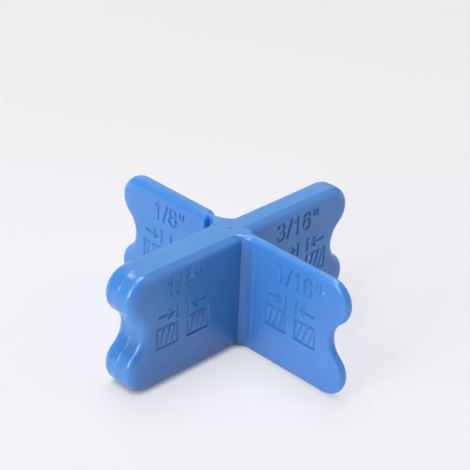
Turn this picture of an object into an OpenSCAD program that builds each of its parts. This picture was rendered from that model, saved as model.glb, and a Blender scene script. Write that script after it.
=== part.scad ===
// Decking spacer: four upright gauge wings of different thickness round one hub,
// moulded in one piece. Lengths are in millimetres, +Z is up, and the origin is on
// the hub's axis in the plane that the spacer stands on.

/* [Gauge thicknesses] */
// Thinnest wing, one sixteenth of an inch, towards +X
gauge_sixteenth = 1.5875; // [1.2:0.0125:2.4]
// One eighth of an inch, towards -X
gauge_eighth = 3.175; // [2.6:0.025:4]
// Three sixteenths of an inch, towards +Y
gauge_three_sixteenths = 4.7625; // [4:0.0125:5.6]
// Thickest wing, one quarter of an inch, towards -Y
gauge_quarter = 6.35; // [5:0.05:7.5]

/* [Wings] */
// Distance from the hub's axis to the ends of the two thick wings
thick_reach = 24; // [18:0.5:40]
// Distance from the hub's axis to the ends of the two thin wings
thin_reach = 24.5; // [18:0.5:40]
// Height of the spacer
height = 20; // [17:0.5:21]
// Radius of the round lobes at the top and the foot of each wing's end
lobe_r = 3.85; // [3.2:0.05:4.6]
// Radius of the hollow between the lobes
notch_r = 4; // [3:0.1:6]

/* [Edges] */
// Rounding of the long edges
edge_r = 1.4; // [0.6:0.05:1.6]
// Least flat land kept between the two roundings of a thin wing
edge_land = 0.2; // [0.1:0.05:0.4]

/* [Hub] */
// Distance from the axis at which the thin wings' root flares have faded out
root_reach = 5.1; // [4.6:0.1:7]
// Breadth of the flared roots where they meet the two thick wings
root_breadth = 2.9; // [2.6:0.05:3.6]
// Radius of the round post behind the root of the thinnest wing
post_r = 1.4; // [1.2:0.05:1.45]
// Distance of the post's own axis from the hub's axis
post_place = 2.3; // [2:0.05:3]
// Distance from the axis to the rounded nose of the one eighth wing
nose_reach = 5; // [4.4:0.1:7]
// Rounding of the nose's upright edge towards -Y
nose_r = 0.6; // [0.3:0.05:0.9]
// Thickness of the neck that joins the nose to the hub
neck_gauge = 0.8; // [0.6:0.05:1.2]
// How far the neck lies below the wings' top and above their foot
neck_drop = 0.2; // [0.1:0.05:0.8]

/* [Hidden] */
$fn = 96;
moulding_blue = [0.24, 0.5, 0.82];
past = 1;                              // how far a cutter runs past what it cuts
bite = 0.004;                          // how deep a cutter dips into what it runs out on
end_span = lobe_r + notch_r - bite;    // between the centres of a lobe and the hollow
end_rise = height / 2 - lobe_r;        // height between those two centres
end_run = sqrt(end_span * end_span - end_rise * end_rise);

// Rounding that a plate of this thickness has room for, in whole hundredths
function rim_r(thickness) =
    min(edge_r, floor(50 * (thickness - edge_land)) / 100);

// Strip from the axis to the given width, its two far corners rounded
module strip_section(width, thickness, r) {
    translate([0, -thickness / 2])
        square([width - r, thickness]);
    translate([0, r - thickness / 2])
        square([width, thickness - 2 * r]);
    for (side = [-1, 1])
        translate([width - r, side * (thickness / 2 - r)])
            circle(r);
}

// Straight plate along +X, standing on the ground plane, its long edges rounded
module plate(from, to, thickness, tall = height) {
    translate([from, 0, 0])
        rotate([90, 0, 90])
            linear_extrude(to - from)
                translate([0, tall / 2])
                    for (turn = [90, -90])
                        rotate(turn)
                            strip_section(tall / 2, thickness, rim_r(thickness));
}

// Turned cutter on the Z axis, belled out at both ends so that it leaves rounded
// edges where it comes out of a plate
module spool(radius, length, r) {
    rotate_extrude() {
        translate([0, -past])
            square([radius, length + 2 * past]);
        for (end = [0, 1])
            translate([radius, end * length])
                mirror([0, end])
                    difference() {
                        translate([0, -past])
                            square([r, r + past]);
                        translate([r, r])
                            circle(r);
                    }
    }
}

// Web that fills the corner between each lobe and the hollow
module end_web(thickness, lobe_x) {
    inside = lobe_x - lobe_r / 2;
    translate([0, thickness / 2, 0])
        rotate([90, 0, 0])
            linear_extrude(thickness)
                polygon([
                    [inside, lobe_r],
                    [lobe_x, lobe_r],
                    [lobe_x + end_run, height / 2],
                    [lobe_x, height - lobe_r],
                    [inside, height - lobe_r]
                ]);
}

// One gauge wing along +X, from the given distance to its two-lobed end
module wing(thickness, reach, from = 0) {
    r = rim_r(thickness);
    lobe_x = reach - lobe_r;
    difference() {
        union() {
            plate(from, lobe_x, thickness);
            for (z = [lobe_r, height - lobe_r])
                translate([lobe_x, 0, z])
                    rotate([90, 90, 0])
                        rotate_extrude(angle = 180)
                            strip_section(lobe_r, thickness, r);
            end_web(thickness, lobe_x);
        }
        translate([lobe_x + end_run, thickness / 2, height / 2])
            rotate([90, 0, 0])
                spool(notch_r, thickness, r);
    }
}

// Half of an upright strip with a rounded top and foot
module nose_section(r) {
    translate([0, r])
        square([r, height - 2 * r]);
    for (z = [r, height - r])
        intersection() {
            translate([0, z])
                circle(r);
            translate([0, z - r])
                square([r, 2 * r]);
        }
}

// Inner end that closes a wing which starts at the given distance, well rounded
// all round except for its upright edge towards -Y
module nose(thickness, from) {
    r = rim_r(thickness);
    land = thickness - 2 * r;
    corner = nose_r - bite;
    translate([from, land / 2, 0])
        rotate([0, 0, 90])
            rotate_extrude(angle = 90)
                nose_section(r);
    difference() {
        intersection() {
            translate([from, land / 2, 0])
                rotate([90, 0, 0])
                    linear_extrude(thickness)
                        mirror([1, 0])
                            nose_section(r);
            plate(from - 2 * r, from, thickness);
        }
        translate([from - r + corner, corner - thickness / 2, -past])
            linear_extrude(height + 2 * past)
                difference() {
                    translate([-nose_r - past, -nose_r - past])
                        square(nose_r + past);
                    circle(nose_r);
                }
    }
}

// Roots of a thin plate along +X, flaring into the thick wings on the given sides
module root(thickness, tall, sides) {
    r = rim_r(thickness);
    rise = (root_breadth - thickness) / 2;
    depth = root_breadth / 2 + rise;
    for (side = sides) {
        thick = side < 0 ? gauge_quarter : gauge_three_sixteenths;
        run = root_reach - thick / 2;
        flare_r = (run * run + rise * rise) / (2 * rise);
        difference() {
            translate([0, side < 0 ? -depth : 0, 0])
                cube([root_reach, depth, tall]);
            translate([root_reach, side * (thickness / 2 + flare_r - bite), 0])
                spool(flare_r, tall, r);
        }
    }
}

// Round post beside the root of the thinnest wing, its top and foot rounded
module post() {
    r = rim_r(gauge_sixteenth);
    translate([post_place, 0, height / 2])
        rotate_extrude()
            for (end = [0, 1])
                mirror([0, end]) {
                    square([post_r - r, height / 2]);
                    square([post_r, height / 2 - r]);
                    translate([post_r - r, height / 2 - r])
                        intersection() {
                            circle(r);
                            square(r);
                        }
                }
}

module spacer() {
    nose_back = nose_reach + rim_r(gauge_eighth);
    color(moulding_blue) {
        rotate([0, 0, -90])
            wing(gauge_quarter, thick_reach);
        rotate([0, 0, 90])
            wing(gauge_three_sixteenths, thick_reach);
        wing(gauge_sixteenth, thin_reach);
        root(gauge_sixteenth, height, [-1]);
        post();
        mirror([1, 0, 0]) {
            wing(gauge_eighth, thin_reach, nose_back);
            nose(gauge_eighth, nose_back);
            translate([0, 0, neck_drop]) {
                plate(0, nose_back, neck_gauge, height - 2 * neck_drop);
                root(neck_gauge, height - 2 * neck_drop, [-1, 1]);
            }
        }
    }
}

spacer();
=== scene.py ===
import math

import bmesh
import bpy
import numpy as np
from mathutils import Matrix, Vector
from mathutils.geometry import delaunay_2d_cdt


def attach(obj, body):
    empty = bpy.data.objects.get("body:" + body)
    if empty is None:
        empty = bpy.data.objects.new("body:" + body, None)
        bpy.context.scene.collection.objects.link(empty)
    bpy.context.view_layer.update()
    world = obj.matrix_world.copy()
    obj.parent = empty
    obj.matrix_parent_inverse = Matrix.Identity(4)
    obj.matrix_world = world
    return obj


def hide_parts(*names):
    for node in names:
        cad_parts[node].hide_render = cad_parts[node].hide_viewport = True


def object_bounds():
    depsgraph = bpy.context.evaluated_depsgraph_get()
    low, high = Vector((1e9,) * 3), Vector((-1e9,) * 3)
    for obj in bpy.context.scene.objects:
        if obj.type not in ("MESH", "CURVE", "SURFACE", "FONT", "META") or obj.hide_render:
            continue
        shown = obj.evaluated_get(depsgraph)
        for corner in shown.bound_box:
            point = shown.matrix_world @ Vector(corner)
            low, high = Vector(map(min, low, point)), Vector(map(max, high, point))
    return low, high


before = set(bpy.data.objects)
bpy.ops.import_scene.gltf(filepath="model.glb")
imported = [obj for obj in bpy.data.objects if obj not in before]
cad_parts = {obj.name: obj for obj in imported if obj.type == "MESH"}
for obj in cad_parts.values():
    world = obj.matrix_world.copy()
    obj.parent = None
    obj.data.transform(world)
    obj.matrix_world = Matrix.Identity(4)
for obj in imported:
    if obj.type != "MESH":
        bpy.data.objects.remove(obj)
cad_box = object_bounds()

# Decking spacer: the frame's solid with engraved sizes, mould lines, its plastic, a floor, lamps
# and the photograph's view. Lengths on the spacer are in millimetres, in the frame's axes, and
# Blender's own are in metres.
MM = 0.001
UP = Vector((0, 0, 1))
HEIGHT = round((cad_box[1][2] - cad_box[0][2]) / MM, 3)

# Wings: direction, the size that is cut into both faces, distance of its middle from the
# hub's axis, and how strongly painted shade darkens the floors of the marks
WINGS = [
    (Vector((0, -1, 0)), "1/4", 13.35, 0.5),
    (Vector((0, 1, 0)), "3/16", 11.85, 0.0),
    (Vector((-1, 0, 0)), "1/8", 13.0, 0.0),
    (Vector((1, 0, 0)), "1/16", 14.55, 1.0),
]
# Distance from the hub's axis beyond which a wing's thickness is read from the frame's solid
STRAIGHT = 10.0

# Engraved marks: breadth of a stroke, height of the size's foot and of the figure's middle,
# distance of the figure from the hub's axis, and the space after the last sign
STROKE = 0.46
BASELINE = HEIGHT - 4.75
FIGURE_HEIGHT = HEIGHT / 2
FIGURE_PLACE = 13.4
SIGN_SPACE = 0.3
# Distance from a stroke's middle line and depth below the face, from rim to floor
GROOVE = [(STROKE / 2 + 0.07, 0.0), (STROKE / 2 + 0.02, -0.05),
          (STROKE / 2 - 0.05, -0.24), (STROKE / 2 - 0.10, -0.28)]
# Grid on which the grooves' outlines are found, how far it runs past the strokes, and how
# far a thinned outline may stray
GRID_STEP = 0.05
GRID_EDGE = 0.6
OUTLINE_SLACK = 0.006

# Ridge that the mould's parting left round the wings' ends: place across the wing and height,
# then where the wing's end starts, and over what length the ridge rises from nothing there
# and above the foot
RIDGE = [(-0.13, 0.0), (0.0, 0.05), (0.13, 0.0)]
END_START = 19.2
RIDGE_START = 19.3
RIDGE_RUN = 1.2
RIDGE_FOOT = 0.25
RIDGE_FOOT_RUN = 0.8

# Upright line that a mould insert left beside the thinnest wing's root: distance from the
# hub's axis and height above the face, then how it fades in from the foot and from the top,
# and the heights that the faces are cut at to let it fade
INSERT_LINE = [(4.8, 0.0), (5.05, 0.035), (5.25, 0.0), (5.45, -0.12), (5.65, 0.0)]
INSERT_MARGIN = 0.4
INSERT_RUN = 1.2
NEAR_FOOT = [0.7, 1.1, 1.6]
INSERT_CUTS = NEAR_FOOT + [4, 7, 10, 13, 16] + [HEIGHT - z for z in reversed(NEAR_FOOT)]

# Stub that the gate left on the hub: place, radius, and height as a share of the radius
GATE = Vector((0.09, -1.04, HEIGHT))
GATE_RADIUS = 0.24
GATE_FLATNESS = 0.45

# Small spots on the moulding's surface: place and radius. The pale ones are dust and nubs
# with a painted highlight, the first on the stub's top; the dark one is painted shade in a pit.
SPECKS_WITH_PAINTED_GLINT = [((0.09, -1.04, HEIGHT + 0.08), 0.2), ((-11.86, -1.59, 16.58), 0.26),
              ((19.85, -0.79, 17.27), 0.24), ((0.0, -21.2, 8.6), 0.22)]
# A small pit, painted dark as painted shade instead of being cut
PIT_WITH_PAINTED_SHADE = [((2.38, 8.83, 14.84), 0.24)]

# Vertices nearer than this many metres are one, and edges that bend by more than this many
# degrees stay sharp
WELD = 1.5e-6
SHARP = 38

# Lamps, all white and aimed at the hub's middle: place, width and height in metres, power in
# watts, and whether reflections show it. The left one would make a second streak on the thick
# wing's end.
LAMPS = [
    ("tall_window", (-0.02, -0.62, 0.50), 0.22, 0.64, 1.95, True),
    ("front_fill", (-0.04, -0.78, 0.27), 0.34, 0.3, 2.7, True),
    ("left_fill", (-0.42, -0.56, 0.40), 0.3, 0.3, 1.0, False),
    ("overhead", (-0.16, 0.05, 0.77), 0.46, 0.46, 4.5, True),
    ("back_wall", (-0.58, 0.52, 0.42), 0.9, 0.6, 1.35, True),
    ("back_fill", (0.55, 0.6, 0.45), 1.2, 1.0, 3.0, True),
]

# The photograph's view, as it was fitted: degrees round the hub, above the floor and of roll,
# the camera's place from the hub's middle to its right, up and back, and the lens in millimetres
VIEW = (44.232, 29.611, 2.548)
VIEW_PLACE = (0.5185, 7.2157, 275.468)
LENS = 134.93


def arc(cx, cy, rx, ry, start, end, steps=20):
    turns = [math.radians(start + (end - start) * i / steps) for i in range(steps + 1)]
    return [(cx + rx * math.cos(a), cy + ry * math.sin(a)) for a in turns]


# Middle lines of the strokes of each sign, and how far the next sign stands from it
SIGNS = {
    "1": ([[(0.42, 2.22), (0.72, 2.42), (1.0, 2.9)], [(1.0, 2.9), (1.0, 0)]], 2.15),
    "3": ([arc(0.86, 2.19, 0.66, 0.71, 165, -90), arc(0.86, 0.76, 0.76, 0.76, 88, -165)], 2.3),
    "4": ([[(1.28, 0), (1.28, 2.9), (0.1, 0.95), (1.8, 0.95)]], 2.3),
    "6": ([arc(0.92, 0.88, 0.74, 0.88, 0, 360, 28), arc(0.98, 1.42, 0.8, 1.48, 195, 38)], 2.3),
    "8": ([arc(0.88, 2.2, 0.62, 0.7, 0, 360, 26), arc(0.88, 0.77, 0.76, 0.77, 0, 360, 26)], 2.3),
    "/": ([[(0.1, -0.05), (0.95, 2.95)]], 1.35),
    '"': ([[(0.3, 2.85), (0.3, 1.95)], [(1.05, 2.85), (1.05, 1.95)]], 1.35),
}


def size_strokes(text, middle):
    """Strokes of a size in inches, set round the given place on the face."""
    signs = text + '"'
    width = sum(SIGNS[s][1] for s in signs) - SIGN_SPACE
    strokes, x = [], middle - width / 2
    for s in signs:
        for line in SIGNS[s][0]:
            strokes.append([(x + px, BASELINE + py) for px, py in line])
        x += SIGNS[s][1]
    return strokes


def gap_strokes(middle):
    """A drafting figure: two hatched boards in section and the gap between them."""
    foot, head, inner, outer = -3.2, 0.2, 1.1, 5.2
    gap_foot, gap_head = 1.1, 3.3
    tip, tail, level = 1.95, 4.7, 2.2
    barb_length, barb_head, barb_foot = 0.85, 2.9, 1.5
    hatches, first_hatch, hatch_step, lean = 3, 0.45, 1.2, 1.0
    strokes = []
    for side in (-1, 1):
        board = [(inner, foot), (outer, foot), (outer, head), (inner, head), (inner, foot)]
        gap_line = [(inner, gap_foot), (inner, gap_head)]
        shaft = [(tip, level), (tail, level)]
        barbs = [(tip + barb_length, barb_head), (tip, level), (tip + barb_length, barb_foot)]
        for line in (board, gap_line, shaft, barbs):
            strokes.append([(side * x, y) for x, y in line])
        left = min(side * inner, side * outer)
        for i in range(hatches):
            x = left + first_hatch + i * hatch_step
            strokes.append([(x, foot), (x + lean, head)])
    return [[(middle + x, FIGURE_HEIGHT + y) for x, y in line] for line in strokes]


def far_from(strokes, px, py):
    """Distance of each grid point from the nearest stroke."""
    best = np.full(px.shape, np.inf)
    for line in strokes:
        for (ax, ay), (bx, by) in zip(line, line[1:]):
            dx, dy = bx - ax, by - ay
            along = np.clip(((px - ax) * dx + (py - ay) * dy) / (dx * dx + dy * dy), 0, 1)
            best = np.minimum(best, np.hypot(px - ax - along * dx, py - ay - along * dy))
    return best


def closed_lines(field, level, x0, y0):
    """Closed lines on which the field has the given value."""
    low = field < level
    code = low[:-1, :-1] * 1 + low[:-1, 1:] * 2 + low[1:, 1:] * 4 + low[1:, :-1] * 8
    rows, cols = np.nonzero((code > 0) & (code < 15))

    def cut(a, b):
        """Where the line crosses the grid's edge between two of its points."""
        t = (level - field[a]) / (field[b] - field[a])
        return (x0 + GRID_STEP * (a[1] + t * (b[1] - a[1])),
                y0 + GRID_STEP * (a[0] + t * (b[0] - a[0])))

    ends, points = {}, {}
    for r, c in zip(rows.tolist(), cols.tolist()):
        corner = [(r, c), (r, c + 1), (r + 1, c + 1), (r + 1, c)]
        crossed = []
        for i in range(4):
            a, b = corner[i], corner[(i + 1) % 4]
            if low[a] != low[b]:
                key = (min(a, b), max(a, b))
                points[key] = cut(*key)
                crossed.append(key)
        pairs = [(crossed[0], crossed[1])]
        if len(crossed) == 4:
            centre = field[r:r + 2, c:c + 2].mean() < level
            if centre == low[corner[0]]:
                pairs = [(crossed[0], crossed[1]), (crossed[2], crossed[3])]
            else:
                pairs = [(crossed[3], crossed[0]), (crossed[1], crossed[2])]
        for a, b in pairs:
            ends.setdefault(a, []).append(b)
            ends.setdefault(b, []).append(a)
    lines, seen = [], set()
    for start in sorted(ends):
        if start in seen:
            continue
        line, here = [], start
        while here not in seen:
            seen.add(here)
            line.append(points[here])
            ahead = [k for k in ends[here] if k not in seen]
            if ahead:
                here = ahead[0]
        if len(line) > 4:
            lines.append(line)
    return lines


def thinned(line):
    """The same closed line with the points left out that lie on straight stretches."""
    pts = np.array(line)
    far = int(np.argmax(np.hypot(*(pts - pts[0]).T)))
    keep = np.zeros(len(pts), bool)
    keep[[0, far]] = True
    ring = np.vstack([pts, pts[:1]])
    stack = [(0, far), (far, len(pts))]
    while stack:
        a, b = stack.pop()
        if b - a < 2:
            continue
        chord = ring[b] - ring[a]
        off = np.abs(chord[0] * (ring[a + 1:b, 1] - ring[a, 1])
                     - chord[1] * (ring[a + 1:b, 0] - ring[a, 0])) / max(np.hypot(*chord), 1e-9)
        worst = int(np.argmax(off))
        if off[worst] > OUTLINE_SLACK:
            keep[a + 1 + worst] = True
            stack += [(a, a + 1 + worst), (a + 1 + worst, b)]
    return pts[keep].tolist()


def groove_lines(strokes):
    """Closed lines round the strokes, from the grooves' rims to their floors, and their depths."""
    spots = [p for line in strokes for p in line]
    x0, y0 = min(p[0] for p in spots) - GRID_EDGE, min(p[1] for p in spots) - GRID_EDGE
    x1, y1 = max(p[0] for p in spots) + GRID_EDGE, max(p[1] for p in spots) + GRID_EDGE
    px, py = np.meshgrid(np.arange(x0, x1, GRID_STEP), np.arange(y0, y1, GRID_STEP))
    field = far_from(strokes, px, py)
    lines = []
    for level, drop in GROOVE:
        for line in closed_lines(field, level, x0, y0):
            line = thinned(line)
            if len(line) > 2:
                lines.append((line, drop))
    return lines


def within(outline, x, y):
    """Whether a point lies inside the closed outline."""
    ax, ay, bx, by = outline.T
    spans = (ay > y) != (by > y)
    reach = ax[spans] + (y - ay[spans]) * (bx[spans] - ax[spans]) / (by[spans] - ay[spans])
    return np.count_nonzero(reach > x) % 2 == 1


def flat_side(bm, wing, normal, offset):
    """The faces of one flat side of a wing, and the edges round them."""
    same_way, same_height, past_hub = 0.9999, 0.002 * MM, 3 * MM
    flat = []
    for f in bm.faces:
        mid = f.calc_center_median()
        level = f.normal.dot(normal) > same_way and abs(mid.dot(normal) - offset) < same_height
        if level and mid.dot(wing) > past_hub:
            flat.append(f)
    inside = set(flat)
    rim = [e for f in flat for e in f.edges if sum(g in inside for g in e.link_faces) == 1]
    return flat, rim


def engrave(bm, wing, normal, thickness, strokes, groove_shade_share):
    """Cuts the strokes into one flat side of a wing, with painted shade on their floors as strong
    as given.
    """
    right = UP.cross(normal)
    shade = bm.verts.layers.float["groove_shade"]
    offset = thickness / 2 * MM
    flat, rim = flat_side(bm, wing, normal, offset)
    corners = list(dict.fromkeys(v for e in rim for v in e.verts))
    place = {v: i for i, v in enumerate(corners)}
    points = [(v.co.dot(right) / MM, v.co.z / MM) for v in corners]
    edges = [(place[e.verts[0]], place[e.verts[1]]) for e in rim]
    depth = [0.0] * len(points)
    for line, drop in groove_lines(strokes):
        first = len(points)
        points += [tuple(p) for p in line]
        depth += [drop] * len(line)
        edges += [(first + i, first + (i + 1) % len(line)) for i in range(len(line))]

    # The flat faces give way to triangles between the rim and the grooves' lines
    only_inside, same_point, with_origins = 1, 1e-6, True
    out, _, faces, origin, _, _ = delaunay_2d_cdt(
        [Vector(p) for p in points], edges, [], only_inside, same_point, with_origins)
    outline = np.array([points[a] + points[b] for a, b in edges[:len(rim)]])
    bmesh.ops.delete(bm, geom=flat, context="FACES_ONLY")
    made = []
    for i, p in enumerate(out):
        known = [k for k in origin[i] if k < len(corners)]
        if known:
            made.append(corners[known[0]])
            continue
        drop = min((depth[k] for k in origin[i]), default=0.0)
        co = right * (p[0] * MM) + UP * (p[1] * MM) + normal * (offset + drop * MM)
        made.append(bm.verts.new(co))
        # Painted shade for the groove's floor, stronger the deeper the floor lies
        made[-1][shade] = groove_shade_share * drop / GROOVE[-1][1]
    for tri in faces:
        vs = [made[i] for i in tri]
        mid = sum((out[i] for i in tri), Vector((0, 0))) / 3
        if len(set(vs)) == 3 and within(outline, mid.x, mid.y):
            bm.faces.new(vs)
    bm.normal_update()


def cut_faces(bm, chosen, across, places):
    """Cuts the chosen faces along planes at the given places."""
    for place in places:
        band = [f for f in bm.faces if chosen(f)]
        parts = band + [e for f in band for e in f.edges] + [v for f in band for v in f.verts]
        bmesh.ops.bisect_plane(bm, geom=list(dict.fromkeys(parts)), dist=1e-8,
                               plane_co=across * (place * MM), plane_no=across)


def crease(bm, chosen, across, profile, fade):
    """Shapes a thin line into the chosen faces, from pairs of place across it and height."""
    cut_faces(bm, chosen, across, [place for place, _ in profile])
    bm.normal_update()
    line = {v for f in bm.faces if chosen(f) for v in f.verts}
    moves = []
    for v in sorted(line, key=lambda v: tuple(v.co)):
        for place, height in profile:
            if height and abs(v.co.dot(across) - place * MM) < 1e-7:
                way = sum((f.normal for f in v.link_faces), Vector())
                way -= across * way.dot(across)
                moves.append((v, way.normalized() * (height * MM * fade(v.co / MM))))
    for v, move in moves:
        v.co += move
    bm.normal_update()


def risen(value, start, run):
    """Nothing up to the start, and one from a run farther on."""
    return min(1.0, max(0.0, (value - start) / run))


def parting_line(bm, wing, thickness):
    """The low ridge that the two mould halves leave round a wing's end."""
    side = Vector((-wing.y, wing.x, 0))

    def on_end(f):
        """Faces of the wing's end that look outwards more than sideways."""
        mid = f.calc_center_median() / MM
        return (mid.dot(wing) > END_START and abs(mid.dot(side)) < thickness / 2
                and abs(f.normal.dot(side)) < 0.6)

    def fade(co):
        """Nothing near the straight top and foot, so that the wing stands as modelled."""
        return min(risen(co.dot(wing), RIDGE_START, RIDGE_RUN),
                   risen(co.z, RIDGE_FOOT, RIDGE_FOOT_RUN))

    crease(bm, on_end, side, RIDGE, fade)


def insert_line(bm):
    """The upright line beside the thinnest wing's root where a mould insert ended."""
    along = Vector((1, 0, 0))
    places = [place for place, _ in INSERT_LINE]
    root, end, breadth = 3.5, 24, 2.0

    def by_root(f):
        """Faces of the wing and its root that look towards -Y."""
        mid = f.calc_center_median() / MM
        return root < mid.x < end and -breadth < mid.y < 0 and f.normal.y < -0.5

    def on_line(f):
        return by_root(f) and places[0] < f.calc_center_median().x / MM < places[-1]

    def fade(co):
        return risen(min(co.z, HEIGHT - co.z), INSERT_MARGIN, INSERT_RUN)

    cut_faces(bm, by_root, along, places)
    cut_faces(bm, on_line, UP, INSERT_CUTS)
    crease(bm, by_root, along, INSERT_LINE, fade)


def gate_mark(bm):
    """The small stub that the moulding's gate left on the hub."""
    stub = bmesh.ops.create_uvsphere(bm, u_segments=16, v_segments=8, radius=GATE_RADIUS * MM)
    for v in stub["verts"]:
        v.co.z *= GATE_FLATNESS
        v.co += GATE * MM


def thickness_of(cad, wing):
    """A wing's thickness in the frame's solid."""
    side = Vector((-wing.y, wing.x, 0))
    spots = [v.co / MM for v in cad.data.vertices]
    return round(2 * max(co.dot(side) for co in spots if co.dot(wing) > STRAIGHT), 4)


def spacer_mesh(cad):
    """The moulding: the frame's solid with the marks cut into its wings."""
    bm = bmesh.new()
    bm.from_mesh(cad.data)
    bmesh.ops.remove_doubles(bm, verts=bm.verts, dist=WELD)
    bmesh.ops.triangulate(bm, faces=bm.faces)
    bm.normal_update()
    # Painted shade for the marks' floors, kept on the vertices
    bm.verts.layers.float.new("groove_shade")
    for wing, text, middle, groove_shade_share in WINGS:
        for side in (-1, 1):
            normal = side * Vector((-wing.y, wing.x, 0))
            sense = wing.dot(UP.cross(normal))
            strokes = size_strokes(text, sense * middle) + gap_strokes(sense * FIGURE_PLACE)
            engrave(bm, wing, normal, thickness_of(cad, wing), strokes, groove_shade_share)
    loose = [v for v in bm.verts if not v.link_faces]
    bmesh.ops.delete(bm, geom=loose, context="VERTS")
    for wing, *_ in WINGS:
        parting_line(bm, wing, thickness_of(cad, wing))
    insert_line(bm)
    gate_mark(bm)
    for f in bm.faces:
        f.smooth = True
    for e in bm.edges:
        e.smooth = len(e.link_faces) == 2 and e.calc_face_angle(0) < math.radians(SHARP)
    mesh = bpy.data.meshes.new("spacer_moulding")
    bm.to_mesh(mesh)
    bm.free()
    return mesh


def feed(tree, socket, value):
    """Gives an input a value, or links it to another node's output."""
    if isinstance(value, bpy.types.NodeSocket):
        tree.links.new(value, socket)
    else:
        socket.default_value = value


def node(tree, kind, **values):
    """A new node with the given settings and inputs."""
    n = tree.nodes.new(kind)
    for key, value in values.items():
        if hasattr(n, key):
            setattr(n, key, value)
        else:
            feed(tree, n.inputs[key.replace("_", " ")], value)
    return n


def maths(tree, operation, *values, kind="ShaderNodeMath"):
    """A node that works out one number from the given values."""
    n = node(tree, kind, operation=operation)
    for socket, value in zip(n.inputs, values):
        feed(tree, socket, value)
    return n


def scaled(tree, value, start, end, low, high):
    """A value's place between two bounds, as a number between low and high."""
    n = node(tree, "ShaderNodeMapRange", Value=value, From_Min=start, From_Max=end,
             To_Min=low, To_Max=high)
    return n.outputs["Result"]


def mixed(tree, share, a, b):
    """Colour a, with the given share of colour b."""
    n = node(tree, "ShaderNodeMix", data_type="RGBA")
    for i, value in ((0, share), (6, a), (7, b)):
        feed(tree, n.inputs[i], value)
    return n.outputs[2]


def mixed_shader(tree, share, a, b):
    """Shader a, with the given share of shader b."""
    n = node(tree, "ShaderNodeMixShader", Fac=share)
    feed(tree, n.inputs[1], a)
    feed(tree, n.inputs[2], b)
    return n.outputs[0]


def ramp(tree, value, stops, easing):
    """Colours along a value, from pairs of place and colour."""
    n = node(tree, "ShaderNodeValToRGB", Fac=value)
    n.color_ramp.interpolation = easing
    points = n.color_ramp.elements
    for i, (place, colour) in enumerate(stops):
        point = points[i] if i < len(points) else points.new(place)
        point.position = place
        point.color = colour
    return n.outputs["Color"]


def bare_material(name):
    """A material, its nodes, and the input that its shader goes into."""
    mat = bpy.data.materials.new(name)
    mat.use_nodes = True
    mat.node_tree.nodes.clear()
    out = mat.node_tree.nodes.new("ShaderNodeOutputMaterial")
    return mat, mat.node_tree, out.inputs["Surface"]


def pigment(tree, place):
    """The moulding's blue, with its slow drift."""
    cloud = node(tree, "ShaderNodeTexNoise", Vector=place, Scale=110.0, Detail=3.0,
                 Roughness=0.55)
    deep, light = (0.060, 0.233, 0.560, 1), (0.071, 0.257, 0.604, 1)
    return ramp(tree, cloud.outputs["Fac"], [(0.3, deep), (0.72, light)], "LINEAR")


def with_specks_and_painted_light(tree, place, colour):
    """The colour with painted spots over it: pale specks painted as highlights, and a small pit
    painted as shade.
    """
    # Painted highlight on the pale specks and painted shade in the pit
    pale, dark = (0.26, 0.50, 0.80, 1), (0.03, 0.12, 0.30, 1)
    for painted_spots, tint in ((SPECKS_WITH_PAINTED_GLINT, pale), (PIT_WITH_PAINTED_SHADE, dark)):
        for spot, radius in painted_spots:
            away = maths(tree, "DISTANCE", place, Vector(spot) * MM, kind="ShaderNodeVectorMath")
            near = scaled(tree, away.outputs["Value"], radius * MM, radius * MM * 0.5, 0.0, 1.0)
            colour = mixed(tree, near, colour, tint)
    return colour


def with_painted_groove_shade(tree, colour):
    """The colour with painted shade on the marks' floors, darker where the floors lie deeper."""
    groove_shade_node = node(tree, "ShaderNodeAttribute", attribute_name="groove_shade")
    # Painted shade: up to three tenths of a dark blue over the deepest floors
    share = maths(tree, "MULTIPLY", groove_shade_node.outputs["Fac"], 0.3)
    return mixed(tree, share.outputs[0], colour, (0.04, 0.13, 0.36, 1))


def grain(tree, place):
    """The faint grain of a satin mould."""
    fine = node(tree, "ShaderNodeTexNoise", Vector=place, Scale=5200.0, Detail=2.0,
                Roughness=0.6)
    bump = node(tree, "ShaderNodeBump", Height=fine.outputs["Fac"], Strength=0.25,
                Distance=0.000006)
    return bump.outputs["Normal"]


def plastic():
    """Blue translucent moulding material."""
    mat, tree, surface = bare_material("blue_moulding")
    place = tree.nodes.new("ShaderNodeTexCoord").outputs["Object"]
    # The colour carries painted highlights and painted shade on small spots, and painted shade on
    # the marks' floors
    colour = with_painted_groove_shade(tree, with_specks_and_painted_light(tree, place, pigment(tree, place)))
    shader = node(tree, "ShaderNodeBsdfPrincipled", Base_Color=colour, Normal=grain(tree, place),
                  Roughness=0.25, IOR=1.49, Specular_IOR_Level=0.66, Subsurface_Weight=0.8,
                  Subsurface_Radius=(0.14, 0.55, 1.0), Subsurface_Scale=0.005)
    tree.links.new(shader.outputs[0], surface)
    return mat


def floor_tone_with_painted_shade(tree, spot):
    """What is seen of the floor apart from its shading: a pale tone with painted shade, a little
    darker behind the object than in front of it and far away, and a painted contact shadow, a dark
    line where the object stands."""
    along = node(tree, "ShaderNodeSeparateXYZ", Vector=spot)
    depth = maths(tree, "SUBTRACT", along.outputs["Y"], along.outputs["X"])
    front, middle, back = (0.821, 0.815, 0.867, 1), (0.745, 0.743, 0.742, 1), (0.86, 0.86, 0.86, 1)
    # Painted shade: the tone dips some way behind the object
    tone = ramp(tree, depth.outputs[0], [(0.0, front), (0.2, middle), (0.8, back)], "EASE")
    # The painted contact shadow is weak in front of the thinnest wing, where the front light
    # reaches it
    touch = node(tree, "ShaderNodeAmbientOcclusion", samples=16, Distance=0.001)
    weak = scaled(tree, along.outputs["X"], 0.0033, 0.0045, 0.0, 0.72)
    line = scaled(tree, touch.outputs["AO"], 0.0, 1.0, weak, 1.0)
    # Painted contact shadow: navy where the occlusion is strong
    shade = mixed(tree, line, (0.04, 0.07, 0.20, 1), tone)
    return node(tree, "ShaderNodeEmission", Color=shade).outputs[0]


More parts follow.
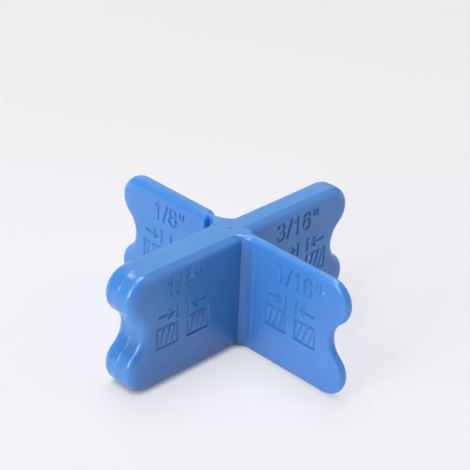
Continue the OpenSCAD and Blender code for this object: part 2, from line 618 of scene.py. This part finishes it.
def pale_floor():
    """A matt floor. The camera and reflections see it pale, with the object's shadow and painted
    shade near the object and without any of its own shading farther out, so that it has no
    horizon."""
    mat, tree, surface = bare_material("pale_floor")
    matt = node(tree, "ShaderNodeBsdfPrincipled", Base_Color=(0.88, 0.88, 0.895, 1),
                Roughness=0.9, Specular_IOR_Level=0.1)
    spot = tree.nodes.new("ShaderNodeNewGeometry").outputs["Position"]
    reach = maths(tree, "LENGTH", spot, kind="ShaderNodeVectorMath")
    even = scaled(tree, reach.outputs["Value"], 0.15, 0.6, 0.70, 1.0)
    ray = tree.nodes.new("ShaderNodeLightPath").outputs
    seen = maths(tree, "MAXIMUM", ray["Is Camera Ray"], ray["Is Glossy Ray"])
    share = maths(tree, "MULTIPLY", seen.outputs[0], even)
    shader = mixed_shader(tree, share.outputs[0], matt.outputs[0], floor_tone_with_painted_shade(tree, spot))
    tree.links.new(shader, surface)
    return mat


def floor():
    # Off centre, so that the edge between its two triangles is out of sight
    bpy.ops.mesh.primitive_plane_add(size=40, location=(2, -3, 0))
    plane = bpy.context.object
    plane.name = "floor"
    plane.data.materials.append(pale_floor())


def room():
    """Faint light from all round, and a pale backdrop that the camera alone sees."""
    world = bpy.data.worlds.new("soft_room")
    bpy.context.scene.world = world
    world.use_nodes = True
    tree = world.node_tree
    faint = tree.nodes["Background"]
    faint.inputs["Color"].default_value = (0.97, 0.98, 1.0, 1)
    faint.inputs["Strength"].default_value = 0.02
    paper = node(tree, "ShaderNodeBackground", Color=(0.86, 0.86, 0.86, 1))
    seen = tree.nodes.new("ShaderNodeLightPath").outputs["Is Camera Ray"]
    blend = mixed_shader(tree, seen, faint.outputs[0], paper.outputs[0])
    tree.links.new(blend, tree.nodes["World Output"].inputs["Surface"])


def lamp(name, place, width, height, power, mirrored):
    data = bpy.data.lights.new(name, "AREA")
    data.shape = "RECTANGLE"
    data.size = width
    data.size_y = height
    data.energy = power
    obj = bpy.data.objects.new(name, data)
    obj.location = place
    aim = UP * (HEIGHT / 2 * MM)
    obj.rotation_euler = (Vector(place) - aim).to_track_quat("Z", "Y").to_euler()
    obj.visible_glossy = mirrored
    bpy.context.scene.collection.objects.link(obj)


def camera():
    azimuth, tilt, roll = (math.radians(a) for a in VIEW)
    level = Vector((math.cos(azimuth), math.sin(azimuth), 0))
    back = Vector((math.sin(azimuth) * math.cos(tilt),
                   -math.cos(azimuth) * math.cos(tilt), math.sin(tilt)))
    rise = back.cross(level)
    right = level * math.cos(roll) + rise * math.sin(roll)
    up = -level * math.sin(roll) + rise * math.cos(roll)
    sideways, upwards, away = VIEW_PLACE
    place = UP * (HEIGHT / 2) + sideways * right + upwards * up + away * back
    data = bpy.data.cameras.new("photo_view")
    data.sensor_width = 36
    data.lens = LENS
    data.clip_start = 0.01
    data.clip_end = 20
    cam = bpy.data.objects.new("photo_view", data)
    turn = Matrix((right, up, back)).transposed()
    cam.matrix_world = Matrix.Translation(place * MM) @ turn.to_4x4()
    bpy.context.scene.collection.objects.link(cam)
    bpy.context.scene.camera = cam


def moulding(cad):
    """The spacer's visual piece, with normals that keep its flat faces flat."""
    obj = bpy.data.objects.new("spacer_moulding", spacer_mesh(cad))
    bpy.context.scene.collection.objects.link(obj)
    even = obj.modifiers.new("even_normals", "WEIGHTED_NORMAL")
    even.keep_sharp = True
    obj.data.materials.append(plastic())
    return obj


camera()
room()
for row in LAMPS:
    lamp(*row)
floor()
spacer = moulding(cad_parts["spacer"])
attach(spacer, "root")
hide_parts("spacer")

bpy.context.scene.view_settings.view_transform = "Standard"
